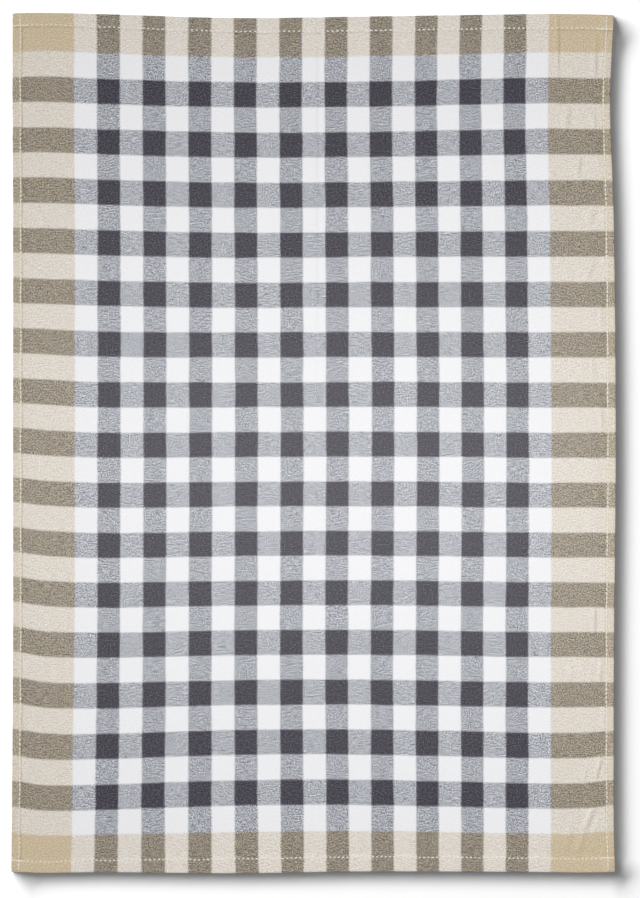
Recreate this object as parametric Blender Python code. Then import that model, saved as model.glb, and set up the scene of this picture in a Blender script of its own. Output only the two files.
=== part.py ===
"""Tea towel: one length of check twill with a turned and stitched hem on each side, laid flat.

Metres, +Z up. X runs across the towel from its left side to its right, Y runs up its length, and the
underside lies on Z = 0. The origin is under the middle of the towel.
"""

import bmesh
import bpy
import numpy as np

MM = 0.001

# Driving sizes of the towel as it was cut and hemmed
WIDTH = 495.0 * MM
LENGTH = 705.0 * MM
CHECK_WIDTH = 392.5 * MM
CLOTH_HEIGHT = 1.0 * MM
HEM_RISE = 1.2 * MM
SIDE_HEM = 7.2 * MM
TOP_HEM = 12.0 * MM
BOTTOM_HEM = 11.0 * MM
HEM_STEP = 1.0 * MM
EDGE_ROLL = 0.9 * MM
RIM_INSET = 0.5 * MM

# The fold that pressing left down the middle: its place across the towel and half its width
PRESS_ACROSS = 4.4 * MM
PRESS_HALF = 6.0 * MM

# How closely the surface is divided, and the width beside the left hem that is divided closely
ROW_PITCH = 10.0 * MM
FIELD_PITCH = 22.0 * MM
BORDER_PITCH = 4.0 * MM
LEFT_CLOSE = 14.0 * MM

# Row drift: how far the rows of the weave rise (mm) at places across the towel (mm from the middle).
# Each line is one level (mm up from the middle). The sewn sides pull the rows up, the middle hangs back.
RISE_ACROSS = (-247.5, -220.0, -175.0, -65.0, 40.0, 190.0, 247.5)
RISE = {
    352.5: (1.0, 2.0, 1.0, -2.5, -1.5, 0.5, 0.5),
    320.0: (1.5, 2.5, 0.5, -2.5, -2.0, 1.5, 1.0),
    155.0: (2.0, 1.5, 0.0, -2.0, -1.5, -1.0, -1.0),
    -10.0: (3.5, 1.0, -1.0, -0.5, 0.0, -1.0, -1.0),
    -176.0: (5.5, 1.0, 0.0, 2.0, 2.5, 0.5, 0.5),
    -300.0: (2.0, -1.5, -1.0, 2.5, 3.0, 0.5, 3.0),
    -352.5: (0.0, -1.0, 0.0, -0.5, 0.5, 0.0, 0.5),
}

# Column drift: how far the columns of the weave lean to the right (mm), set out in the same way.
LEAN_ACROSS = (-247.5, -196.0, -47.0, 84.0, 196.0, 247.5)
LEAN = {
    352.5: (0.0, -0.5, 0.0, -0.5, -2.5, -0.5),
    279.0: (0.0, -0.5, 0.0, -1.0, -3.5, -3.5),
    186.0: (0.5, 0.0, 0.5, 0.0, -2.0, -0.5),
    0.0: (0.5, 0.0, 1.0, 1.0, -0.5, 1.5),
    -170.0: (0.5, -0.5, 0.5, 0.0, -1.0, 0.0),
    -312.0: (-0.5, -2.5, 1.0, 0.5, -1.0, -0.5),
    -352.5: (-1.0, -3.0, 1.5, 0.5, -1.0, 0.5),
}

# Main folds as soft ridges: the press fold, then the puckers beside the hems, from the top down.
# Places and sizes in mm, turn in degrees from the towel's length.
FOLDS = (
    # (across, along, half_length, half_width, turn, rise)
    (PRESS_ACROSS / MM, 0.0, 900.0, PRESS_HALF / MM, 0.0, 0.40),
    (203.5, 328.0, 30.0, 8.0, 0.0, 0.70),
    (231.0, 314.0, 18.0, 7.0, 0.0, 0.60),
    (213.0, 268.0, 18.0, 9.0, 0.0, 0.60),
    (221.0, 229.0, 20.0, 7.0, 12.0, 0.50),
    (229.0, 186.0, 18.0, 8.0, 0.0, 0.45),
    (230.0, 142.0, 20.0, 9.0, 0.0, 0.45),
    (230.0, 62.0, 20.0, 8.0, 0.0, 0.40),
    (231.0, -145.0, 22.0, 8.0, 0.0, 0.55),
    (233.0, -188.0, 18.0, 7.0, 0.0, 0.50),
    (233.0, -226.0, 18.0, 7.0, 0.0, 0.50),
    (233.0, -268.0, 20.0, 7.0, 14.0, 0.70),
    (226.0, -312.0, 24.0, 7.0, 22.0, 0.65),
    (-234.0, -268.0, 16.0, 7.0, 6.0, 0.50),
)

COTTON = (0.52, 0.50, 0.48, 1.0)
COTTON_ROUGHNESS = 0.9


def station_weights(stations, places):
    """Weight of each station's value at each place, along cubic pieces that pass through every station.

    The slope at a station is that of the line through its two neighbours.
    """
    stations = np.asarray(stations)
    count = len(stations)
    before = np.maximum(np.arange(count) - 1, 0)
    after = np.minimum(np.arange(count) + 1, count - 1)
    unit = np.eye(count)
    slope = (unit[after] - unit[before]) / (stations[after] - stations[before])[:, None]
    piece = np.clip(np.searchsorted(stations, places, side="right") - 1, 0, count - 2)
    span = stations[piece + 1] - stations[piece]
    t = np.clip((places - stations[piece]) / span, 0.0, 1.0)
    start = 2 * t**3 - 3 * t**2 + 1
    leave = (t**3 - 2 * t**2 + t) * span
    arrive = (t**3 - t**2) * span
    return (
        start[:, None] * unit[piece]
        + (1 - start)[:, None] * unit[piece + 1]
        + leave[:, None] * slope[piece]
        + arrive[:, None] * slope[piece + 1]
    )


def drift(table, across_stations, across, along):
    """Drift in metres at each place: read across every level first, then from level to level."""
    levels = sorted(table)
    lines = np.array([table[level] for level in levels])
    by_column = station_weights(across_stations, across / MM)
    by_level = station_weights(levels, along / MM)
    return MM * np.einsum("ni,nj,ij->n", by_level, by_column, lines)


def hem_cover(inset, width):
    """1 on a hem, 0 inside it, with a smooth step down over HEM_STEP past its inner fold."""
    t = np.clip((inset - width) / HEM_STEP, 0.0, 1.0)
    return 1 - t * t * (3 - 2 * t)


def fold_rise(across, along):
    """Height of the main folds: each is rise * (1 - d**2)**2, where d is 1 at the ridge's oval edge."""
    total = np.zeros_like(across)
    for x, y, half_length, half_width, turn, rise in FOLDS:
        lean = np.radians(turn)
        dx, dy = across / MM - x, along / MM - y
        beside = dx * np.cos(lean) - dy * np.sin(lean)
        beyond = dx * np.sin(lean) + dy * np.cos(lean)
        d = np.minimum((beside / half_width) ** 2 + (beyond / half_length) ** 2, 1.0)
        total += MM * rise * (1 - d) ** 2
    return total


def lay_out(woven):
    """Places of the laid towel from woven places: (across, along, layer), layer 1 on top and 0 below.

    Across and along gain the drift of the weave. The top stands one cloth high, plus a rise on each
    hem, plus the folds, and rolls down to half that height at the outer edge in a quarter circle.
    """
    across, along, layer = woven.T
    side_inset = WIDTH / 2 - np.abs(across)
    end_inset = LENGTH / 2 - np.abs(along)
    end_hem = np.where(along > 0, TOP_HEM, BOTTOM_HEM)
    height = (
        CLOTH_HEIGHT
        + HEM_RISE * hem_cover(side_inset, SIDE_HEM)
        + HEM_RISE * hem_cover(end_inset, end_hem)
        + fold_rise(across, along)
    )
    roll = np.clip(np.minimum(side_inset, end_inset) / EDGE_ROLL, 0.0, 1.0)
    height *= 0.5 + 0.5 * np.sqrt(1 - (1 - roll) ** 2)
    return np.column_stack((
        across + drift(LEAN, LEAN_ACROSS, across, along),
        along + drift(RISE, RISE_ACROSS, across, along),
        height * layer,
    ))


def stretch(start, end, pitch):
    """Even steps of about one pitch from start up to, but not including, end."""
    return np.linspace(start, end, max(round((end - start) / pitch), 1), endpoint=False)


def hem_lines(width):
    """Insets of the lines that shape a hem: the rolled edge, the flat top and the step at its inner fold."""
    return np.array((0.0, 0.3 * EDGE_ROLL, EDGE_ROLL, width, width + 0.5 * HEM_STEP))


def grid_columns():
    """Places of the grid's columns: close on the hems, the press fold and the puckered right border."""
    half, check = WIDTH / 2, CHECK_WIDTH / 2
    inner = half - SIDE_HEM - HEM_STEP
    press_left, press_right = PRESS_ACROSS - PRESS_HALF, PRESS_ACROSS + PRESS_HALF
    return np.concatenate((
        -half + hem_lines(SIDE_HEM),
        stretch(-inner, -inner + LEFT_CLOSE, BORDER_PITCH),
        stretch(-inner + LEFT_CLOSE, -check, FIELD_PITCH),
        stretch(-check, press_left, FIELD_PITCH),
        stretch(press_left, press_right, 0.5 * PRESS_HALF),
        stretch(press_right, check, FIELD_PITCH),
        stretch(check, inner, BORDER_PITCH),
        [inner],
        half - hem_lines(SIDE_HEM)[::-1],
    ))


def grid_rows():
    """Places of the grid's rows, evenly spaced between the two end hems."""
    half = LENGTH / 2
    low, high = -half + BOTTOM_HEM + HEM_STEP, half - TOP_HEM - HEM_STEP
    return np.concatenate((
        -half + hem_lines(BOTTOM_HEM),
        stretch(low, high, ROW_PITCH),
        [high],
        half - hem_lines(TOP_HEM)[::-1],
    ))


def woven_sheet(columns, rows):
    """Grid over the woven towel, with its rim turned down to one flat face below."""
    bm = bmesh.new()
    bmesh.ops.create_grid(bm, x_segments=len(columns) - 1, y_segments=len(rows) - 1, size=0.5)
    for vertex in bm.verts:
        column = round((vertex.co.x + 0.5) * (len(columns) - 1))
        row = round((vertex.co.y + 0.5) * (len(rows) - 1))
        vertex.co = (columns[column], rows[row], 1.0)
    edge = [e for e in bm.edges if e.is_boundary]
    turned = bmesh.ops.extrude_edge_only(bm, edges=edge)["geom"]
    for vertex in (g for g in turned if isinstance(g, bmesh.types.BMVert)):
        vertex.co.x *= 1 - RIM_INSET / (WIDTH / 2)
        vertex.co.y *= 1 - RIM_INSET / (LENGTH / 2)
        vertex.co.z = 0.0
    below = [g for g in turned if isinstance(g, bmesh.types.BMEdge) and g.is_boundary]
    bmesh.ops.edgeloop_fill(bm, edges=below)
    bmesh.ops.recalc_face_normals(bm, faces=bm.faces)
    mesh = bpy.data.meshes.new("towel")
    bm.to_mesh(mesh)
    bm.free()
    return mesh


def cotton():
    """Plain cotton in the towel's average colour."""
    material = bpy.data.materials.new("cotton_twill")
    material.use_nodes = True
    shader = material.node_tree.nodes["Principled BSDF"]
    shader.inputs["Base Color"].default_value = COTTON
    shader.inputs["Roughness"].default_value = COTTON_ROUGHNESS
    shader.inputs["Metallic"].default_value = 0.0
    return material


def make_towel():
    """The towel as one solid, centred over the origin."""
    mesh = woven_sheet(grid_columns(), grid_rows())
    woven = np.empty(len(mesh.vertices) * 3)
    mesh.vertices.foreach_get("co", woven)
    laid = lay_out(woven.reshape(-1, 3))
    middle = (laid.min(axis=0) + laid.max(axis=0)) / 2
    laid[:, :2] -= middle[:2]
    mesh.vertices.foreach_set("co", laid.ravel())
    mesh.update()
    mesh.shade_smooth()
    mesh.materials.append(cotton())
    towel = bpy.data.objects.new("towel", mesh)
    bpy.context.scene.collection.objects.link(towel)
    return towel


for old in list(bpy.data.objects):
    bpy.data.objects.remove(old, do_unlink=True)
make_towel()
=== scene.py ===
# %% [markdown]
# # A checked tea towel
# Its four edges are turned twice towards the viewer and sewn down with cream thread. It lies flat, face up.
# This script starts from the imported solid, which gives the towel's place and size, and puts a thin folded
# cloth and real stitches where the plain solid lies.

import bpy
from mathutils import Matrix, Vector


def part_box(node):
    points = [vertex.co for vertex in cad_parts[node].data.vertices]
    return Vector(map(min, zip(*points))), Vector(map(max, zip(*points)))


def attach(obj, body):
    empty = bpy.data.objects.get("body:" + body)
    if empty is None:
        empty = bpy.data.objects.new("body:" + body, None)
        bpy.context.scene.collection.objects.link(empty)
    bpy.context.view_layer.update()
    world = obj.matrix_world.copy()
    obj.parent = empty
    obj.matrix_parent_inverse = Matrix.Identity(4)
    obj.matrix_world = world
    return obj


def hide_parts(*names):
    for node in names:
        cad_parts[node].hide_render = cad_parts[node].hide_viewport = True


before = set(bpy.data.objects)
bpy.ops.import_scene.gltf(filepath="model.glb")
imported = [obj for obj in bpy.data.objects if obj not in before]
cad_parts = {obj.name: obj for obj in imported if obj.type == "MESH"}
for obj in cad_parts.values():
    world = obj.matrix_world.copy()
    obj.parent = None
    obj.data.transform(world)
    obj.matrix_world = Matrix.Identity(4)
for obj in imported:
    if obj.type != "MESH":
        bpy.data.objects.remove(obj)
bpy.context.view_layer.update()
towel_low, towel_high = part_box("towel")
print("packed towel, metres:", [round(float(b - a), 4) for a, b in zip(towel_low, towel_high)])

import bpy
import numpy as np

MM = 0.001

# %% [markdown]
# ## Sizes
# The finished towel is 495 by 705 mm, hem to hem. The twill itself is about 0.45 mm thick. Folded layers
# lie a little more than that apart, and where two hems cross at a corner nine layers are sewn and pressed
# together, so there each layer is thinner. A fold is ironed, so its turn bulges only half as far as a round
# one would. All other sizes of the cloth follow from these few.

# %% Sizes of the towel
WIDTH = 495.0 * MM
LENGTH = 705.0 * MM
CLOTH = 0.45 * MM
LAYER = 0.5 * MM
PRESSED = 0.5
FOLD_ROUND = 0.5
FLAP = 5.5 * MM

OUTER_ARC = np.pi * LAYER * (1 + FOLD_ROUND) / 2
INNER_ARC = OUTER_ARC / 2
FLAT_ACROSS = WIDTH / 2 - FOLD_ROUND * LAYER - CLOTH / 2
FLAT_ALONG = LENGTH / 2 - FOLD_ROUND * LAYER - CLOTH / 2
print("nine layers at a corner stand", round(9 * LAYER * PRESSED / MM, 2), "mm high")

# %% [markdown]
# ## How the weave lies
# No towel lies square. Washing and sewing pull the rows of the weave up at the sides and let them hang back
# in the middle, and the sides lean in a little near the ends. Two short tables hold that drift in
# millimetres, at a few places across the towel (mm from the middle) and a few levels up its length. A smooth
# curve through the table's numbers, first across and then along, gives the drift anywhere.

# %% Tables of the drift
RISE_ACROSS = (-247.5, -220.0, -175.0, -65.0, 40.0, 190.0, 222.0, 247.5)
RISE = {
    352.5: (1.8, 2.2, 1.2, -2.1, -0.9, 1.2, 1.0, 0.4),
    320.0: (1.5, 2.5, 0.5, -2.5, -2.0, 1.5, 1.2, 1.0),
    155.0: (2.0, 1.5, 0.0, -2.0, -1.5, -1.0, -1.0, -1.0),
    -10.0: (3.5, 1.0, -1.0, -0.5, 0.0, -1.0, -1.0, -1.0),
    -176.0: (5.5, 1.0, 0.0, 2.0, 2.5, 0.5, 0.5, 0.5),
    -300.0: (2.0, -1.5, -1.0, 2.5, 3.0, 0.0, 0.4, 3.0),
    -352.5: (0.8, -0.2, 0.4, -0.5, 1.0, 0.5, 0.1, 0.6),
}
LEAN_ACROSS = (-247.5, -196.0, -47.0, 84.0, 196.0, 247.5)
LEAN = {
    352.5: (0.0, -0.5, 0.0, -0.5, -2.5, -0.5),
    279.0: (0.0, -0.5, 0.0, -1.0, -3.5, -3.5),
    186.0: (0.5, 0.0, 0.5, 0.0, -2.0, -0.5),
    0.0: (0.5, 0.0, 1.0, 1.0, -0.5, 1.2),
    -170.0: (0.5, -0.5, 0.5, 0.0, -1.0, -0.3),
    -312.0: (-0.5, -2.5, 1.0, 0.5, -1.0, -0.5),
    -352.5: (-1.0, -3.0, 1.5, 0.5, -1.0, 0.5),
}
print(len(RISE), "levels of rise and", len(LEAN), "levels of lean")


# %% A smooth curve through a row of stations
def station_weights(stations, places):
    """Weight of each station's value at each place, along cubic pieces that pass through every station.

    The slope at a station is that of the line through its two neighbours.
    """
    stations = np.asarray(stations)
    count = len(stations)
    before = np.maximum(np.arange(count) - 1, 0)
    after = np.minimum(np.arange(count) + 1, count - 1)
    unit = np.eye(count)
    slope = (unit[after] - unit[before]) / (stations[after] - stations[before])[:, None]
    piece = np.clip(np.searchsorted(stations, places, side="right") - 1, 0, count - 2)
    span = stations[piece + 1] - stations[piece]
    t = np.clip((places - stations[piece]) / span, 0.0, 1.0)
    start = 2 * t**3 - 3 * t**2 + 1
    leave = (t**3 - 2 * t**2 + t) * span
    arrive = (t**3 - t**2) * span
    return (
        start[:, None] * unit[piece]
        + (1 - start)[:, None] * unit[piece + 1]
        + leave[:, None] * slope[piece]
        + arrive[:, None] * slope[piece + 1]
    )


def drift(table, across_stations, across, along):
    """Drift in metres at each place: read across every level first, then from level to level."""
    levels = sorted(table)
    lines = np.array([table[level] for level in levels])
    by_column = station_weights(across_stations, across / MM)
    by_level = station_weights(levels, along / MM)
    return MM * np.einsum("ni,nj,ij->n", by_level, by_column, lines)


middle = np.zeros(1)
print("the middle row rises", (drift(RISE, RISE_ACROSS, middle, middle) / MM).round(2)[0], "mm")

# %% [markdown]
# ## The seams and the width of each hem
# Each hem is held by one row of stitches near its inner fold. The machinist kept the side seams 5 to 7 mm
# from the edge, but the end seams wander: their distance from the edge changes by 2 mm along the hem.
# Three distances for each seam, joined by a parabola, say that well. A faint wave on top is the hand's, and
# the inner fold has the same wave at another phase, a little weaker.

# %% Seams
SEAM_TO_FOLD = 1.5 * MM
SEAMS = {
    # seam: distance (mm) from the edge at the left or bottom end, in the middle, at the other end; phase
    "left": (6.45, 6.3, 6.6, 4.0),
    "right": (5.5, 6.3, 5.3, 5.0),
    "bottom": (9.0, 11.4, 11.0, 6.0),
    "top": (9.9, 11.0, 11.8, 3.0),
}
WAVES = (
    # length and height (mm)
    (61.0, 0.16),
    (23.0, 0.07),
)
FOLD_WAVE = 0.6
FOLD_PHASE = 0.5


def hand_wave(place, phase):
    """A slight wave in metres: the sum of a long and a short sine along the hem."""
    return sum(
        MM * height * np.sin(2 * np.pi * place / (MM * length) + phase * length)
        for length, height in WAVES
    )


def seam_inset(seam, place):
    """Distance of a seam from its edge: the parabola through its three distances, plus the wave."""
    start, centre, end = (MM * distance for distance in SEAMS[seam][:3])
    t = place / (LENGTH / 2 if seam in ("left", "right") else WIDTH / 2)
    parabola = centre + (end - start) / 2 * t + ((start + end) / 2 - centre) * t**2
    return parabola + hand_wave(place, SEAMS[seam][3])


def hem_width(seam, place):
    """Width of a hem over all: its inner fold lies just past the seam, with a wave of its own."""
    return seam_inset(seam, place) + SEAM_TO_FOLD + FOLD_WAVE * hand_wave(place, FOLD_PHASE)


def strip_length(width):
    """Flat length of the turned strip: the hem's width less the room that its two turns take."""
    return width - 1.5 * FOLD_ROUND * LAYER - CLOTH


for seam in SEAMS:
    print(seam, "hem is", (hem_width(seam, middle) / MM).round(1)[0], "mm wide in its middle")

# %% [markdown]
# ## Creases
# Where the hems were sewn a little tight the border puckers beside them, and an iron's fold runs down the
# middle. A crease could be simulated, but a few soft ridges and troughs, listed one by one, follow this
# towel more closely. Each is an oval hill or dip with a smooth foot, long along the crease and narrow across
# it.
# A dip beside a hill makes the slope between them steep, and that slope is what shows as a line.

# %% Table of creases
CREASES = (
    # across, along, half length, half width (mm), turn from the towel's length (degrees), rise (mm)
    (2.0, 230.0, 260.0, 3.0, 0.0, 0.4),
    (4.2, 230.0, 260.0, 2.4, 0.0, -0.35),
    (1.6, -235.0, 250.0, 2.6, 0.0, -0.275),
    (4.2, -235.0, 250.0, 3.0, 0.0, 0.2),
    (200.5, 328.0, 44.0, 3.0, 0.0, 1.1),
    (203.4, 328.0, 40.0, 2.2, 0.0, -0.6),
    (231.2, 313.0, 16.0, 3.0, 0.0, 1.25),
    (235.0, 311.0, 13.0, 2.4, 0.0, -0.5),
    (232.0, 330.0, 10.0, 2.6, 0.0, 0.75),
    (207.5, 268.0, 15.0, 4.2, 12.0, 1.05),
    (213.5, 267.0, 14.0, 3.8, 12.0, -0.5),
    (230.6, 266.0, 10.0, 3.0, 0.0, 0.9),
    (217.4, 228.0, 13.0, 3.2, 14.0, 1.0),
    (221.8, 227.0, 12.0, 2.8, 14.0, -0.45),
    (234.6, 230.5, 11.0, 2.6, 0.0, 0.85),
    (227.4, 186.0, 14.0, 3.8, 22.0, 0.65),
    (233.6, 186.0, 12.0, 3.0, 22.0, -0.3),
    (226.4, 142.5, 16.0, 4.2, 26.0, 0.85),
    (232.6, 142.0, 14.0, 3.6, 26.0, -0.4),
    (236.4, 105.5, 14.0, 2.4, 0.0, 0.8),
    (228.8, 61.5, 15.0, 2.6, 0.0, 0.35),
    (233.4, 61.5, 15.0, 2.6, 0.0, -0.15),
    (236.6, 20.0, 14.0, 2.4, 0.0, 0.8),
    (230.2, -145.0, 15.0, 3.0, 0.0, 1.15),
    (234.6, -145.0, 13.0, 2.4, 0.0, -0.5),
    (235.8, -187.0, 13.0, 2.0, 0.0, 1.0),
    (211.0, -189.0, 9.0, 3.4, 0.0, 0.6),
    (237.0, -226.5, 12.0, 2.2, 0.0, 0.55),
    (234.4, -265.5, 14.0, 2.0, 15.0, 1.55),
    (237.0, -266.5, 13.0, 1.6, 15.0, -0.65),
    (222.8, -273.0, 8.0, 2.8, 12.0, 0.65),
    (226.0, -308.0, 17.0, 3.2, 24.0, 1.05),
    (230.6, -309.5, 15.0, 3.0, 24.0, -0.55),
    (219.6, -328.0, 14.0, 4.0, 20.0, 0.75),
    (209.5, -322.0, 14.0, 4.4, 8.0, 0.5),
    (-239.0, -268.5, 12.0, 2.6, 6.0, 0.85),
)


def crease_rise(across, along):
    """Height of all creases: each is rise * (1 - d**2)**2, where d is 1 at the oval's edge."""
    total = np.zeros_like(across)
    for x, y, half_length, half_width, turn, rise in CREASES:
        lean = np.radians(turn)
        dx, dy = across / MM - x, along / MM - y
        beside = dx * np.cos(lean) - dy * np.sin(lean)
        beyond = dx * np.sin(lean) + dy * np.cos(lean)
        d_squared = np.minimum((beside / half_width) ** 2 + (beyond / half_length) ** 2, 1.0)
        total += MM * rise * (1 - d_squared) ** 2
    return total


print(len(CREASES), "hills and dips, the highest", max(crease[-1] for crease in CREASES), "mm")

# %% [markdown]
# ## Air
# The cloth between the hems isn't held down, so it stands a fraction of a millimetre off the table on a
# cushion of air, in very shallow swells. That also leaves room for the troughs.

# %% Air under the cloth
AIR = 0.30 * MM
AIR_SLOPE = 9.0 * MM
SWELL = 0.10 * MM
REST = 0.04 * MM


def falloff(distance, reach):
    """1 up to distance 0, then a smooth step down to 0 at the reach."""
    t = np.clip(distance / reach, 0.0, 1.0)
    return 1 - t * t * (3 - 2 * t)


def swells(across, along):
    """Shallow waves over the open cloth: the product and the sum of a few long sines."""
    x, y = across / MM, along / MM
    waves = np.sin(x / 31 + 0.8) * np.sin(y / 43 + 2.1) + 0.6 * np.sin(x / 17 + y / 61)
    return SWELL * (waves + 0.5 * np.sin(x / 47 - y / 23 + 1.0))


print("the cloth floats", AIR / MM, "mm up, give or take", SWELL / MM, "mm")

# %% [markdown]
# ## Folding the hems
# A double-turned hem is one stretch of cloth that goes out flat, turns back over itself, runs in as the
# strip that shows, turns under, and ends in a raw flap hidden in the middle. The ends are folded after the
# sides are sewn, so at a corner a stack of three layers is folded the same way. One function does both: it
# carries any layer of a stack round the two turns.


# %% A fold that carries a stack of layers
def fold_over(run, strip, stack, height, squash):
    """Distance outwards and height of a layer carried round a double-turned hem.

    run is the length of cloth past the flat body, and height is where the layer lies in its stack.
    The outer turn is half an ellipse round 1.5 stacks, the strip runs back at 3 stacks less the height,
    the inner turn is half an ellipse round 2 stacks, and the flap runs out at one stack plus the height.
    squash is the bulge of a turn as a share of half its height.
    """
    first = np.pi * np.clip(run / OUTER_ARC, 0.0, 1.0)
    back = np.clip(run - OUTER_ARC, 0.0, strip)
    second = np.pi * np.clip((run - OUTER_ARC - strip) / INNER_ARC, 0.0, 1.0)
    flap = np.maximum(run - OUTER_ARC - strip - INNER_ARC, 0.0)
    outer = 1.5 * stack - height
    inner = stack - height
    turns = squash * (outer * np.sin(first) - inner * np.sin(second))
    out = np.minimum(run, 0.0) - back + flap + turns
    return out, height + outer * (1 - np.cos(first)) - inner * (1 - np.cos(second))


print("in one layer of cloth the outer turn takes", round(OUTER_ARC / MM, 2), "mm")

# %% [markdown]
# The hems differ in width along the towel, but a grid needs one cut. So the cut is made for a standard side
# hem and a standard end hem, and the strip between the two turns is stretched a little to fit each place.

# %% Fit the run of cloth to the hem's real width
STANDARD = {
    "side": strip_length(7.8 * MM),
    "end": strip_length(12.2 * MM),
}


def fitted_run(run, strip, standard):
    """Stretch the strip's share of a standard run, so that its turns fall where this hem's turns do."""
    return run + (strip - standard) * np.clip((run - OUTER_ARC) / standard, 0.0, 1.0)


def hem_reach(standard):
    """Length of cloth past the flat body that a standard hem takes up, raw flap included."""
    return OUTER_ARC + standard + INNER_ARC + FLAP


CUT_WIDTH = 2 * (FLAT_ACROSS + hem_reach(STANDARD["side"]))
CUT_LENGTH = 2 * (FLAT_ALONG + hem_reach(STANDARD["end"]))
print("cut size:", round(CUT_WIDTH / MM, 1), "by", round(CUT_LENGTH / MM, 1), "mm")

# %% [markdown]
# ## The whole cloth as one function
# Every point of the cut cloth now has one place on the laid towel. The sides are folded first. Their
# layers then make the stack for the end folds: one layer high in the open, three in the side hems, and
# pressed thinner where hems cross and along the seams. The last millimetres of each corner are thinner
# still, and a thick fold bulges less than its height alone would make it. Last come the air, the creases
# and the drift.

# %% Where cut cloth lies
HEM_STEP = 3.8 * MM
SEAM_PINCH = 0.10
SEAM_GROOVE = 0.8 * MM
CORNER_BULGE = 0.7
TIP = (5.0 * MM, 8.0 * MM)
TIP_THIN = 0.4


def stack_at(side_inset, end_inset, seams):
    """How the cloth is stacked at a place, from its insets from the edges.

    Returns the layers in the side fold, the share of the end hem (0 to 1), the pressing and the openness.
    A side hem stacks three layers with a smooth step at its fold. Where it crosses an end hem the layers
    are pressed, and each seam pinches them in a groove shaped like a bell. Away from the hems is open.
    """
    side_seam, end_seam, side_hem, end_hem = seams
    in_side = falloff(side_inset - side_hem, HEM_STEP)
    in_end = falloff(end_inset - end_hem, HEM_STEP)
    groove = np.exp(-(((side_inset - side_seam) / SEAM_GROOVE) ** 2)) * (1 - in_end)
    groove += np.exp(-(((end_inset - end_seam) / SEAM_GROOVE) ** 2))
    press = (1 - (1 - PRESSED) * in_side * in_end) * (1 - SEAM_PINCH * groove)
    press *= 1 - TIP_THIN * falloff(side_inset, TIP[0]) * falloff(end_inset, TIP[1])
    open_side = 1 - falloff(side_inset - side_hem, AIR_SLOPE)
    open_end = 1 - falloff(end_inset - end_hem, AIR_SLOPE)
    return 1 + 2 * in_side, in_end, press, open_side * open_end


def seams_at(across, along):
    """Insets of the side seam and end seam, and the widths of the side hem and end hem, at each place."""
    left, top = across < 0, along > 0
    return (
        np.where(left, seam_inset("left", along), seam_inset("right", along)),
        np.where(top, seam_inset("top", across), seam_inset("bottom", across)),
        np.where(left, hem_width("left", along), hem_width("right", along)),
        np.where(top, hem_width("top", across), hem_width("bottom", across)),
    )


def laid(across, along, up, openness):
    """Add the air, swells and creases to the height, and the drift of the weave to the place.

    A trough can only use up the air: below that, half of (a + root of (a*a + REST*REST)) levels it out.
    """
    x = across + drift(LEAN, LEAN_ACROSS, across, along)
    y = along + drift(RISE, RISE_ACROSS, across, along)
    air = openness * (AIR + swells(across, along)) + crease_rise(x, y)
    air = (air + np.sqrt(air**2 + REST**2)) / 2
    return np.column_stack((x, y, up + air))


def cloth_surface(column, row):
    """The middle surface of the cloth as a function of its two directions in the standard cut.

    Returns laid places, cut places and the pressing. The sides fold a stack of one layer. The ends fold
    the stack that the sides made, with their turns squashed so that the thick corners keep in line.
    """
    left, right = hem_width("left", row), hem_width("right", row)
    side_strip = strip_length(np.where(column < 0, left, right))
    side_run = fitted_run(np.abs(column) - FLAT_ACROSS, side_strip, STANDARD["side"])
    out, level = fold_over(side_run, side_strip, LAYER, LAYER / 2, FOLD_ROUND)
    across = np.sign(column) * (FLAT_ACROSS + out)

    bottom, top = hem_width("bottom", across), hem_width("top", across)
    end_strip = strip_length(np.where(row < 0, bottom, top))
    end_run = fitted_run(np.abs(row) - FLAT_ALONG, end_strip, STANDARD["end"])
    flat_out, _ = fold_over(end_run, end_strip, 0.0, 0.0, 0.0)
    flat_along = np.sign(row) * (FLAT_ALONG + flat_out)

    insets = WIDTH / 2 - np.abs(across), LENGTH / 2 - np.abs(flat_along)
    layers, _, press, openness = stack_at(*insets, seams_at(across, flat_along))
    stack = layers * LAYER * press
    squash = FOLD_ROUND * (LAYER / (1.5 * stack - LAYER * press / 2)) ** CORNER_BULGE
    end_out, up = fold_over(end_run, end_strip, stack, level * press, squash)
    along = np.sign(row) * (FLAT_ALONG + end_out)
    cut = np.column_stack((
        np.sign(column) * (FLAT_ACROSS + side_run),
        np.sign(row) * (FLAT_ALONG + end_run),
    ))
    return laid(across, along, up, openness), cut, press


# %% [markdown]
# ## The grid
# The surface is sampled on a grid whose lines are close where the cloth bends and far apart where it is
# flat: closest on the turns of the hems and on the puckered right border, wider over the check. The lines
# along the towel start anew at the borders and on both sides of the ironed fold.


# %% Places of the grid's lines
SIDE_LEAD = 9.5 * MM
END_LEAD = 15.0 * MM
LEAD_PITCH = 2.4 * MM
STRIP_PITCH = 0.95 * MM
FLAP_PITCH = 2.7 * MM
ROW_PITCH = 2.9 * MM
FIELD_STARTS = (-215.0, -196.25, -1.0, 8.0, 196.25, 222.0)
FIELD_PITCHES = (2.6, 5.0, 8.0, 1.0, 8.0, 0.95, 0.85)


def spread(marks, pitches):
    """Places from mark to mark, in even steps of about the pitch given for each stretch."""
    runs = [
        np.linspace(a, b, max(round((b - a) / pitch), 1), endpoint=False)
        for a, b, pitch in zip(marks, marks[1:], pitches)
    ]
    return np.concatenate(runs + [marks[-1:]])


def hem_lines(flat, standard, lead):
    """Lines over one hem, outwards: a lead of body under the hem, outer turn, strip, inner turn and flap."""
    marks = np.cumsum((flat - lead, lead, OUTER_ARC, standard, INNER_ARC, FLAP))
    return spread(marks, (LEAD_PITCH, OUTER_ARC / 6, STRIP_PITCH, INNER_ARC / 4, FLAP_PITCH))


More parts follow.
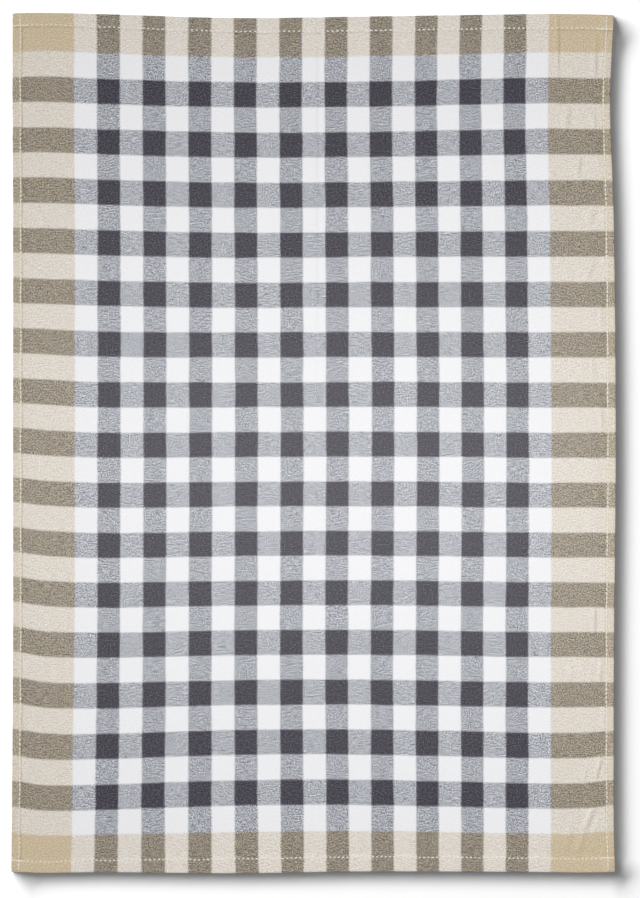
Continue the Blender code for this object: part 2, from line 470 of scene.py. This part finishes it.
side_lines = hem_lines(FLAT_ACROSS, STANDARD["side"], SIDE_LEAD)
end_lines = hem_lines(FLAT_ALONG, STANDARD["end"], END_LEAD)
field_marks = np.concatenate((-side_lines[:1], MM * np.array(FIELD_STARTS), side_lines[:1]))
field = spread(field_marks, MM * np.array(FIELD_PITCHES))
body_rows = spread((-end_lines[0], end_lines[0]), (ROW_PITCH,))
columns = np.concatenate((-side_lines[:0:-1], field, side_lines[1:]))
rows = np.concatenate((-end_lines[:0:-1], body_rows, end_lines[1:]))
print("grid:", len(columns), "by", len(rows), "lines")


# %% [markdown]
# ## The cloth
# A grid becomes a mesh of squares with smooth shading. Its map holds each point's place in the cut cloth, so
# the woven stripes run on round the folds as they do in real cloth.

# %% Make a mesh from a grid
def grid_faces(wide, high):
    """Corner numbers of the grid's squares, turned so that a flat grid faces up."""
    corner = np.arange(wide * high).reshape(high, wide)
    near, far = corner[:-1], corner[1:]
    return np.stack((near[:, :-1], near[:, 1:], far[:, 1:], far[:, :-1]), axis=-1).reshape(-1, 4)


def make_object(name, places, faces, texture_places, map_name):
    """A smooth mesh object with its own UV map, from places, faces and one texture place per vertex."""
    mesh = bpy.data.meshes.new(name)
    mesh.from_pydata(places, [], faces)
    corners = np.empty(len(mesh.loops), np.int32)
    mesh.loops.foreach_get("vertex_index", corners)
    own_map = mesh.uv_layers.new(name=map_name)
    own_map.uv.foreach_set("vector", texture_places[corners].astype(np.float32).ravel())
    mesh.shade_smooth()
    mesh.update()
    piece = bpy.data.objects.new(name, mesh)
    bpy.context.scene.collection.objects.link(piece)
    return piece


# %% The cloth
column, row = (grid.ravel() for grid in np.meshgrid(columns, rows))
places, cut_places, pressing = cloth_surface(column, row)
box_middle = (np.array(towel_low) + np.array(towel_high)) / 2
centring = box_middle[:2] - (places[:, :2].min(axis=0) + places[:, :2].max(axis=0)) / 2
places[:, :2] += centring
woven_map = cut_places / (CUT_WIDTH, CUT_LENGTH) + 0.5
cloth = make_object("tea_towel_cloth", places, grid_faces(len(columns), len(rows)), woven_map, "Woven")
print("cloth:", len(cloth.data.polygons), "squares, centred by", (centring / MM).round(2), "mm")

# %% [markdown]
# The sheet has no thickness yet. Solidify gives it 0.225 mm to either side. A vertex group holds how far
# the cloth is pressed at each point, and Solidify thins the pressed corners by it.

# %% Thickness
pressed_cloth = cloth.vertex_groups.new(name="pressed_cloth")
levels = pressing.round(2)
for level in np.unique(levels):
    pressed_cloth.add(np.flatnonzero(levels == level).tolist(), float(level), "REPLACE")
thickness = cloth.modifiers.new("thickness", "SOLIDIFY")
thickness.thickness = CLOTH
thickness.offset = 0.0
thickness.vertex_group = pressed_cloth.name
thickness.thickness_vertex_group = 0.0
print("the cloth is pressed to", levels.min(), "of its thickness at the corners")

# %% [markdown]
# ## The stitches
# On this side a lockstitch shows as short raised beads of thread with their ends pulled into the cloth. The
# side seams were sewn first, and where the end hems turn them over, their back shows on the strip. The end
# seams run from edge to edge and are sewn twice over at each corner to lock them. Each bead is a small
# closed tube, and one array holds them all.

# %% Sizes of the stitches
THREAD_RADIUS = 0.52 * MM
THREAD_SINK = 0.14 * MM
THREAD_SLANT = 0.04 * MM
STITCH_LENGTH = {"left": 3.6 * MM, "right": 3.6 * MM, "bottom": 3.53 * MM, "top": 3.95 * MM}
STITCH_SHOWN = {"left": 0.85, "right": 0.85, "bottom": 0.55, "top": 0.55}
SIDE_SEAM_STOP = 2.0 * MM
END_SEAM_STOP = 0.5 * MM
LOCK_RUN = 8.5 * MM
LOCK_BACK = 0.45
LOCK_LONGER = 1.15
LOCK_ASIDE = 0.35 * MM
UNEVEN_PLACE = 0.09 * MM
UNEVEN_LENGTH = 0.07
UNEVEN_ASIDE = 0.05 * MM
RINGS = 7
SPOKES = 6
hand = np.random.default_rng(24)


def top_of_cloth(across, along):
    """Laid places on the upper face of the towel: the top of its stack of layers at each place."""
    seams = seams_at(across, along)
    insets = WIDTH / 2 - np.abs(across), LENGTH / 2 - np.abs(along)
    layers, in_end, press, openness = stack_at(*insets, seams)
    top = (layers * (1 + 2 * in_end) * LAYER - (LAYER - CLOTH) / 2) * press
    return laid(across, along, top, openness) + (*centring, 0.0)


def stitch_ends(seam):
    """Both ends of every stitch of a seam, on the upper face, with a little unevenness from the machine.

    The stitches in the lock at each end of an end seam are there twice, the second a little aside.
    """
    upright = seam in ("left", "right")
    length = STITCH_LENGTH[seam]
    half = LENGTH / 2 - SIDE_SEAM_STOP if upright else WIDTH / 2 - END_SEAM_STOP
    count = round(2 * half / length)
    centres = np.linspace(-half, half, count) + hand.normal(0, UNEVEN_PLACE, count)
    reach = STITCH_SHOWN[seam] * length / 2 * hand.normal(1, UNEVEN_LENGTH, count)
    aside = hand.normal(0, UNEVEN_ASIDE, count)
    if not upright:
        lock = np.abs(np.abs(centres) - (WIDTH / 2 - LOCK_RUN / 2)) < LOCK_RUN / 2
        again = centres[lock] - LOCK_BACK * length * np.sign(centres[lock])
        centres = np.concatenate((centres, again))
        reach = np.concatenate((reach, LOCK_LONGER * reach[lock]))
        aside = np.concatenate((aside, np.full(lock.sum(), LOCK_ASIDE)))
    edge = -1 if seam in ("left", "bottom") else 1
    ends = []
    for way in (-1, 1):
        place = np.clip(centres + way * reach, -half, half)
        inset = seam_inset(seam, place) + aside + way * THREAD_SLANT
        if upright:
            ends.append(top_of_cloth(edge * (WIDTH / 2 - inset), place))
        else:
            ends.append(top_of_cloth(place, edge * (LENGTH / 2 - inset)))
    return np.stack(ends, axis=1)


stitch_lines = np.concatenate([stitch_ends(seam) for seam in SEAMS])
print(len(stitch_lines), "stitches")


# %% Beads of thread
def beads(lines):
    """A closed tube on each line, from one array of rings.

    Along the tube, t goes from 0 to 1: the radius is the thread's times the fourth root of 1 - (2t - 1)**4,
    and the middle bows up out of the cloth by THREAD_SINK * (1 - (2t - 1)**2) * 2, less THREAD_SINK.
    """
    t = np.linspace(0.02, 0.98, RINGS)
    angle = 2 * np.pi * np.arange(SPOKES) / SPOKES
    start, end = lines[:, None, None, 0], lines[:, None, None, 1]
    line = end - start
    beside = np.cross(line, (0.0, 0.0, 1.0))
    beside /= np.linalg.norm(beside, axis=-1, keepdims=True)
    radius = THREAD_RADIUS * (1 - (2 * t - 1) ** 4)[None, :, None, None] ** 0.25
    bow = THREAD_SINK * (2 * (1 - (2 * t - 1) ** 2) - 1)[None, :, None, None]
    upwards = np.array((0.0, 0.0, 1.0))
    centre = start + line * t[None, :, None, None] + bow * upwards
    round_it = beside * np.cos(angle)[None, None, :, None] + upwards * np.sin(angle)[None, None, :, None]
    places = (centre + radius * round_it).reshape(-1, 3)
    share_round = angle[None, None, :] / (2 * np.pi)
    along_and_round = np.stack(np.broadcast_arrays(t[None, :, None], share_round), axis=-1)
    texture = np.broadcast_to(along_and_round, (len(lines), RINGS, SPOKES, 2)).reshape(-1, 2)

    ring = np.arange(SPOKES)
    step = np.arange(RINGS - 1)[:, None] * SPOKES
    turn = np.roll(ring, -1)
    walls = np.stack((step + ring, step + SPOKES + ring, step + SPOKES + turn, step + turn), axis=-1)
    first = np.arange(len(lines))[:, None, None] * RINGS * SPOKES
    walls = (first + walls.reshape(-1, 4)).reshape(-1, 4).tolist()
    near = (first[..., 0] + ring).tolist()
    far = (first[..., 0] + (RINGS - 1) * SPOKES + ring[::-1]).tolist()
    return places, walls + near + far, texture


stitching = make_object("hem_stitching", *beads(stitch_lines), "Thread")
print("stitching:", len(stitching.data.polygons), "faces")

# %% [markdown]
# ## Place the pieces in the frame
# Both pieces ride on the towel's only body. The cloth, a laid sheet of its cut size, stands for the plain
# solid, which is hidden, and the stitches go with it.

for piece in (cloth, stitching):
    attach(piece, "root")
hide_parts("towel")
print("sheet declared,", round(CUT_WIDTH, 4), "by", round(CUT_LENGTH, 4), "m")

# %% [markdown]
# ## Materials
# Each material is a net of small nodes. A few helpers join them, so that a formula reads like one.

# %% Helpers for material nodes
def maths(tree, operation, *values):
    """A Math node; each value is a number or another node's output."""
    node = tree.nodes.new("ShaderNodeMath")
    node.operation = operation
    for socket, value in zip(node.inputs, values):
        if isinstance(value, bpy.types.NodeSocket):
            tree.links.new(value, socket)
        else:
            socket.default_value = value
    return node.outputs[0]


def scaled(tree, value, factor, offset=0.0):
    """value * factor + offset in one node."""
    return maths(tree, "MULTIPLY_ADD", value, factor, offset)


def noise(tree, x, y, x_size, y_size, seed, detail=2.0):
    """Soft noise from about -0.5 to 0.5, whose blotches are x_size by y_size across."""
    joined = tree.nodes.new("ShaderNodeCombineXYZ")
    tree.links.new(scaled(tree, x, 1 / x_size), joined.inputs[0])
    tree.links.new(scaled(tree, y, 1 / y_size), joined.inputs[1])
    joined.inputs[2].default_value = seed
    node = tree.nodes.new("ShaderNodeTexNoise")
    node.inputs["Scale"].default_value = 1.0
    node.inputs["Detail"].default_value = detail
    tree.links.new(joined.outputs[0], node.inputs["Vector"])
    return scaled(tree, node.outputs[0], 1.0, -0.5)


def blend(tree, factor, colour_a, colour_b):
    """Mix two colours; each is a colour or another node's output."""
    node = tree.nodes.new("ShaderNodeMix")
    node.data_type = "RGBA"
    for socket, value in zip((node.inputs[0], node.inputs[6], node.inputs[7]), (factor, colour_a, colour_b)):
        if isinstance(value, bpy.types.NodeSocket):
            tree.links.new(value, socket)
        else:
            socket.default_value = value
    return node.outputs[2]


# %% [markdown]
# ## The weave
# The cloth is a balanced 2/2 twill: each yarn passes over two and under two, one step further on each row,
# which draws fine diagonals. The colour comes from the yarns alone: the material finds which warp and which
# weft yarn lie at a point and gives each its dyed colour. The yarns are finer than the eye can part, so the
# two colours mix. Light is caught between yarns, which makes a mixture darker than the plain average, so
# each channel is raised to its power in MIXING, averaged, and brought back.

# %% Yarns and stripes
WARP_PITCH = 0.505
WEFT_PITCH = 0.540
CHECK_WIDTH = 392.5
CHECK_LENGTH = 641.35
WARP_STRIPES = 21
WEFT_STRIPES = 31
WARP_STRIPE = CHECK_WIDTH / WARP_STRIPES
WEFT_STRIPE = CHECK_LENGTH / WEFT_STRIPES
CHECK_LEFT = -CHECK_WIDTH / 2
CHECK_BOTTOM = -320.95
WHITE = (0.845, 0.845, 0.862, 1.0)
CHARCOAL = (0.038, 0.034, 0.050, 1.0)
TAN = (0.594, 0.490, 0.332, 1.0)
MIXING = (0.76, 0.83, 0.93)
print("warp yarns per stripe:", round(WARP_STRIPE / WARP_PITCH))
print("weft yarns per stripe:", round(WEFT_STRIPE / WEFT_PITCH))


def deepened(colour):
    """The colour with each channel raised to its power in MIXING, ready to be averaged."""
    return tuple(part**power for part, power in zip(colour, MIXING + (1.0,)))


def stripe_colour(tree, place, start, stripe, count):
    """Colour of the yarn at a place: white and charcoal by turns over the check, tan outside it."""
    position = scaled(tree, place, 1 / stripe, -start / stripe)
    odd = maths(tree, "MODULO", maths(tree, "FLOOR", position), 2.0)
    from_middle = maths(tree, "ABSOLUTE", scaled(tree, position, 1.0, -count / 2))
    inside = maths(tree, "LESS_THAN", from_middle, count / 2)
    return blend(tree, inside, deepened(TAN), blend(tree, odd, deepened(WHITE), deepened(CHARCOAL)))


# %% [markdown]
# The yarns aren't perfectly even. The weave wanders by up to 0.8 mm, the floats slip along their diagonals,
# and short streaks and specks show more of the warp or more of the weft. The border of a stripe steps in and
# out with the floats, like small teeth, and the dye has taken deeper in some places than in others. On the
# turned strips the side hems show more of the tan warp. The height of the floating yarns gives the bump.

# %% Unevenness of the twill
WARP_SHARE = 0.52
HEM_WARP_SHARE = 0.66
FLOAT_CONTRAST = 0.06
YARN_ROUND = 0.45
YARN_RELIEF = 0.05 * MM
WANDER = 1.6
WANDER_SIZE = 34.0
SLIP = 1.0
SLIP_SIZE = 5.0
STREAK = 0.6
STREAK_SIZE = (6.0, 0.7)
SPECK = 1.55
SPECK_SIZE = 0.95
TEETH = 0.6
DYE = 1.4
DYE_SIZE = 1.0
SEED = {"across": 1.0, "slip": 3.0, "along": 5.0, "streak": 17.0, "speck": 21.0, "dye": 29.0, "rough": 33.0}


def crown(tree, place, number):
    """Round section of a yarn: 1 on its ridge and 0 at its sides, a parabola between."""
    beside = scaled(tree, maths(tree, "SUBTRACT", place, number), 2.0, -1.0)
    return scaled(tree, maths(tree, "MULTIPLY", beside, beside), -1.0, 1.0)


def floats(tree, across, along, warp_at, weft_at):
    """Heights of the warp and the weft yarn at a place, each from its arch and its round section.

    Along a warp yarn the arch is the sine of a quarter turn per weft, and each next yarn is a quarter
    turn behind, which is the 2/2 twill. The weft's arch is the same wave upside down. The slip adds a
    slow noise to both waves, so the diagonals break and meander as they do in soft cotton.
    """
    quarter = np.pi / 2
    slow = noise(tree, across, along, SLIP_SIZE, SLIP_SIZE, SEED["slip"], 1.0)
    slip = scaled(tree, slow, SLIP * 2 * np.pi)
    warp_number = maths(tree, "FLOOR", warp_at)
    weft_number = maths(tree, "FLOOR", weft_at)
    warp_turn = scaled(tree, maths(tree, "SUBTRACT", warp_number, weft_at), quarter, quarter)
    weft_turn = scaled(tree, maths(tree, "SUBTRACT", warp_at, weft_number), quarter)
    warp_arch = maths(tree, "SINE", maths(tree, "ADD", warp_turn, slip))
    weft_arch = maths(tree, "SINE", maths(tree, "ADD", weft_turn, slip))
    warp_height = maths(tree, "MULTIPLY_ADD", crown(tree, warp_at, warp_number), YARN_ROUND, warp_arch)
    weft_round = scaled(tree, crown(tree, weft_at, weft_number), YARN_ROUND)
    return warp_height, maths(tree, "SUBTRACT", weft_round, weft_arch)


def warp_shown(tree, across, along, warp_height, weft_height):
    """How much of the warp shows: its usual share, streaks and specks, and a little more where it floats."""
    past_edge = maths(tree, "GREATER_THAN", maths(tree, "ABSOLUTE", across), WIDTH / MM / 2)
    share = scaled(tree, past_edge, HEM_WARP_SHARE - WARP_SHARE, WARP_SHARE)
    streaks = scaled(tree, noise(tree, across, along, *STREAK_SIZE, SEED["streak"], 0.0), STREAK)
    specks = scaled(tree, noise(tree, across, along, SPECK_SIZE, SPECK_SIZE, SEED["speck"], 0.0), SPECK)
    share = maths(tree, "ADD", maths(tree, "ADD", share, streaks), specks)
    above = maths(tree, "SUBTRACT", warp_height, weft_height)
    shown = maths(tree, "MULTIPLY_ADD", above, FLOAT_CONTRAST, share)
    shown.node.use_clamp = True
    return shown


# %% [markdown]
# ## The finish
# The cloth is soft and matt, with a trace of fuzz, which the sheen gives. It has been ironed, so it also has
# a faint, broad gloss. The coat gives that, and its smooth surface keeps the gloss even over the yarns.

# %% Twill material
ROUGH = 0.9
ROUGH_CHANGE = 0.12
ROUGH_SIZE = 6.0
SHEEN = 0.08
GLOSS = 0.42
GLOSS_SPREAD = 0.4


def make_twill():
    """Yarn-dyed twill on the cloth's own map, which holds places in the cut cloth."""
    material = bpy.data.materials.new("yarn_dyed_twill")
    material.use_nodes = True
    tree = material.node_tree
    shader = tree.nodes["Principled BSDF"]
    own_map = tree.nodes.new("ShaderNodeUVMap")
    own_map.uv_map = "Woven"
    split = tree.nodes.new("ShaderNodeSeparateXYZ")
    tree.links.new(own_map.outputs[0], split.inputs[0])
    across = scaled(tree, split.outputs[0], CUT_WIDTH / MM, -CUT_WIDTH / MM / 2)
    along = scaled(tree, split.outputs[1], CUT_LENGTH / MM, -CUT_LENGTH / MM / 2)

    wander_x = noise(tree, across, along, WANDER_SIZE, WANDER_SIZE, SEED["across"])
    wander_y = noise(tree, across, along, WANDER_SIZE, WANDER_SIZE, SEED["along"])
    x = maths(tree, "ADD", across, scaled(tree, wander_x, WANDER))
    y = maths(tree, "ADD", along, scaled(tree, wander_y, WANDER))
    warp_at = scaled(tree, x, 1 / WARP_PITCH)
    weft_at = scaled(tree, y, 1 / WEFT_PITCH)
    warp_height, weft_height = floats(tree, across, along, warp_at, weft_at)
    shown = warp_shown(tree, across, along, warp_height, weft_height)

    step = scaled(tree, warp_height, TEETH)
    warp_place = maths(tree, "MULTIPLY_ADD", maths(tree, "FLOOR", warp_at), WARP_PITCH, step)
    back = scaled(tree, step, -1.0)
    weft_place = maths(tree, "MULTIPLY_ADD", maths(tree, "FLOOR", weft_at), WEFT_PITCH, back)
    warp = stripe_colour(tree, warp_place, CHECK_LEFT, WARP_STRIPE, WARP_STRIPES)
    weft = stripe_colour(tree, weft_place, CHECK_BOTTOM, WEFT_STRIPE, WEFT_STRIPES)
    depth = scaled(tree, noise(tree, x, y, DYE_SIZE, DYE_SIZE, SEED["dye"], 0.0), DYE, 1.0)
    mixed = tree.nodes.new("ShaderNodeSeparateColor")
    tree.links.new(blend(tree, shown, weft, warp), mixed.inputs[0])
    restored = tree.nodes.new("ShaderNodeCombineColor")
    for channel, power in enumerate(MIXING):
        part = maths(tree, "POWER", mixed.outputs[channel], scaled(tree, depth, 1 / power))
        tree.links.new(part, restored.inputs[channel])
    tree.links.new(restored.outputs[0], shader.inputs["Base Color"])

    patches = noise(tree, across, along, ROUGH_SIZE, ROUGH_SIZE, SEED["rough"])
    tree.links.new(scaled(tree, patches, ROUGH_CHANGE, ROUGH), shader.inputs["Roughness"])
    shader.inputs["Sheen Weight"].default_value = SHEEN
    shader.inputs["Sheen Roughness"].default_value = 0.5
    shader.inputs["Specular IOR Level"].default_value = 0.25
    shader.inputs["Coat Weight"].default_value = GLOSS
    shader.inputs["Coat Roughness"].default_value = GLOSS_SPREAD

    bump = tree.nodes.new("ShaderNodeBump")
    bump.inputs["Strength"].default_value = 0.3
    bump.inputs["Distance"].default_value = YARN_RELIEF
    tree.links.new(maths(tree, "MAXIMUM", warp_height, weft_height), bump.inputs["Height"])
    tree.links.new(bump.outputs[0], shader.inputs["Normal"])
    return material


cloth.data.materials.append(make_twill())
print("twill material has", len(cloth.data.materials[0].node_tree.nodes), "nodes")

# %% [markdown]
# ## The thread
# Sewing thread is two plies twisted hard together, so its surface winds round it like a rope's. The
# material draws that twist as slanted stripes on the bead's own map: in bump, and in colour as painted
# shade that darkens the grooves between the plies.

# %% Thread material
CREAM = (0.97, 0.94, 0.86, 1.0)
# the darker cream is painted shade for the grooves between the plies
CREAM_PAINTED_SHADE = (0.88, 0.83, 0.72, 1.0)
PLY_TURNS = 5.0
PLY_RELIEF = 0.06 * MM


def make_thread():
    """Twisted cream cotton: along the bead plus round it gives the slant, and a sine gives the plies. Where
    the sine is low, in the grooves between the plies, the colour is painted shade.
    """
    material = bpy.data.materials.new("cream_sewing_thread")
    material.use_nodes = True
    tree = material.node_tree
    shader = tree.nodes["Principled BSDF"]
    own_map = tree.nodes.new("ShaderNodeUVMap")
    own_map.uv_map = "Thread"
    split = tree.nodes.new("ShaderNodeSeparateXYZ")
    tree.links.new(own_map.outputs[0], split.inputs[0])
    slant = maths(tree, "MULTIPLY_ADD", split.outputs[0], PLY_TURNS, split.outputs[1])
    ply = scaled(tree, maths(tree, "SINE", scaled(tree, slant, 4 * np.pi)), 0.5, 0.5)
    # painted shade: the colour darkens in the grooves between the plies, where the sine is low
    tree.links.new(blend(tree, ply, CREAM_PAINTED_SHADE, CREAM), shader.inputs["Base Color"])
    shader.inputs["Roughness"].default_value = 0.6
    bump = tree.nodes.new("ShaderNodeBump")
    bump.inputs["Strength"].default_value = 0.7
    bump.inputs["Distance"].default_value = PLY_RELIEF
    tree.links.new(ply, bump.inputs["Height"])
    tree.links.new(bump.outputs[0], shader.inputs["Normal"])
    return material


stitching.data.materials.append(make_thread())
print("thread material made")

# %% [markdown]
# ## The table
# The towel lies on a plain matt white table, which is much larger than the picture.

# %% Table
TABLE_HALF = 3.0
TABLE_WHITE = (0.93, 0.93, 0.93, 1.0)


def make_table():
    """A plain square of matt white, at the height on which the towel rests."""
    half = TABLE_HALF
    corners = [(-half, -half, 0.0), (half, -half, 0.0), (half, half, 0.0), (-half, half, 0.0)]
    mesh = bpy.data.meshes.new("table_top")
    mesh.from_pydata(corners, [], [(0, 1, 2, 3)])
    top = bpy.data.objects.new("table_top", mesh)
    bpy.context.scene.collection.objects.link(top)
    material = bpy.data.materials.new("matt_white_table")
    material.use_nodes = True
    shader = material.node_tree.nodes["Principled BSDF"]
    shader.inputs["Base Color"].default_value = TABLE_WHITE
    shader.inputs["Roughness"].default_value = 0.85
    mesh.materials.append(material)
    return top


table = make_table()
print("table top,", 2 * TABLE_HALF, "m square")

# %% [markdown]
# ## The light on the towel
# A soft lamp over the middle lies along the towel's width, so the gloss of the ironed cloth shows as a broad
# band across its middle. A soft light from the upper left shows the hems and the creases. Both light only
# the towel, because the table should stay evenly white. Even light from the room fills the rest.

# %% Lamps over the towel
GLOSS_LAMP = (0.079, -0.035, 1.2)
GLOSS_LAMP_SIZE = (0.9, 0.3)
GLOSS_LAMP_POWER = 11.3
SIDE_LIGHT_FROM = (-1.0, 1.0, 1.4)
SIDE_LIGHT_POWER = 0.85
SIDE_LIGHT_WIDTH = 30.0
ROOM_LIGHT = 0.13


def aim(lamp, place):
    """Put a lamp at a place and turn it to look at the towel's middle."""
    lamp.location = place
    flat = np.hypot(place[0], place[1])
    lamp.rotation_euler = (np.arctan2(flat, place[2]), 0.0, np.arctan2(-place[1], -place[0]) - np.pi / 2)


def make_lamp(name, kind, power, lit):
    """A lamp that lights only the given pieces."""
    data = bpy.data.lights.new(name, kind)
    data.energy = power
    lamp = bpy.data.objects.new(name, data)
    bpy.context.scene.collection.objects.link(lamp)
    lamp.light_linking.receiver_collection = bpy.data.collections.new(name + "_lights")
    for piece in lit:
        lamp.light_linking.receiver_collection.objects.link(piece)
    return lamp


gloss_lamp = make_lamp("gloss_lamp", "AREA", GLOSS_LAMP_POWER, (cloth, stitching))
gloss_lamp.data.shape = "RECTANGLE"
gloss_lamp.data.size = GLOSS_LAMP_SIZE[0]
gloss_lamp.data.size_y = GLOSS_LAMP_SIZE[1]
gloss_lamp.location = GLOSS_LAMP

side_light = make_lamp("side_light", "SUN", SIDE_LIGHT_POWER, (cloth, stitching))
side_light.data.angle = np.radians(SIDE_LIGHT_WIDTH)
aim(side_light, SIDE_LIGHT_FROM)

room = bpy.data.worlds.new("soft_room")
room.use_nodes = True
room.node_tree.nodes["Background"].inputs["Color"].default_value = (1.0, 1.0, 1.0, 1.0)
room.node_tree.nodes["Background"].inputs["Strength"].default_value = ROOM_LIGHT
bpy.context.scene.world = room
print("two lamps for the towel, and an even room light of", ROOM_LIGHT)

# %% [markdown]
# ## The shadow on the table
# The towel's shadow is dark beside the right and lower edges and fades over 20 mm, much further than a hem
# 2 mm high could throw it under a lamp overhead. Two wide, low windows at the upper left do it: the lower
# one gives the shadow's long soft end, and the higher one its steeper start. A weak low light from the
# lower right keeps it from going black beside the edge. They light the table alone.

# %% Windows that light the table
WINDOW_TURN = 40.0
WINDOW_AWAY = 12.0
WINDOW_WIDTH = 14.0
WINDOWS = {
    # name: lowest and highest rise above the table (degrees), power (W)
    "low": (3.8, 8.0, 13500.0),
    "high": (8.0, 20.0, 1000.0),
}
FAR_LIGHT_FROM = (1.0, -1.0, 0.25)
FAR_LIGHT_POWER = 1.16
FAR_LIGHT_WIDTH = 8.0

turn = np.radians(WINDOW_TURN)
for name, (lowest, highest, power) in WINDOWS.items():
    sill, head = WINDOW_AWAY * np.tan(np.radians((lowest, highest)))
    window = make_lamp(f"{name}_window", "AREA", power, (table,))
    window.data.shape = "RECTANGLE"
    window.data.size = WINDOW_WIDTH
    window.data.size_y = head - sill
    aim(window, (-WINDOW_AWAY * np.cos(turn), WINDOW_AWAY * np.sin(turn), (sill + head) / 2))

far_light = make_lamp("far_light", "SUN", FAR_LIGHT_POWER, (table,))
far_light.data.angle = np.radians(FAR_LIGHT_WIDTH)
aim(far_light, FAR_LIGHT_FROM)
print(len(WINDOWS), "windows and a far light for the table")

# %% [markdown]
# ## The camera
# The camera looks straight down. A long lens keeps the hems from leaning outwards. The picture's frame is a
# little larger than the towel, and the towel sits left of its middle and above it.

# %% Camera
VIEW_HEIGHT = 738.8 * MM
LENS = 100.0
FILM = 36.0
VIEW_MIDDLE = (5.3 * MM, -4.9 * MM)

camera_data = bpy.data.cameras.new("camera")
camera_data.lens = LENS
camera_data.sensor_width = FILM
camera = bpy.data.objects.new("camera", camera_data)
camera.location = (*VIEW_MIDDLE, VIEW_HEIGHT * LENS / FILM)
bpy.context.scene.collection.objects.link(camera)
bpy.context.scene.camera = camera
bpy.context.scene.view_settings.view_transform = "Standard"
print("camera stands", round(camera.location.z, 3), "m above the table")
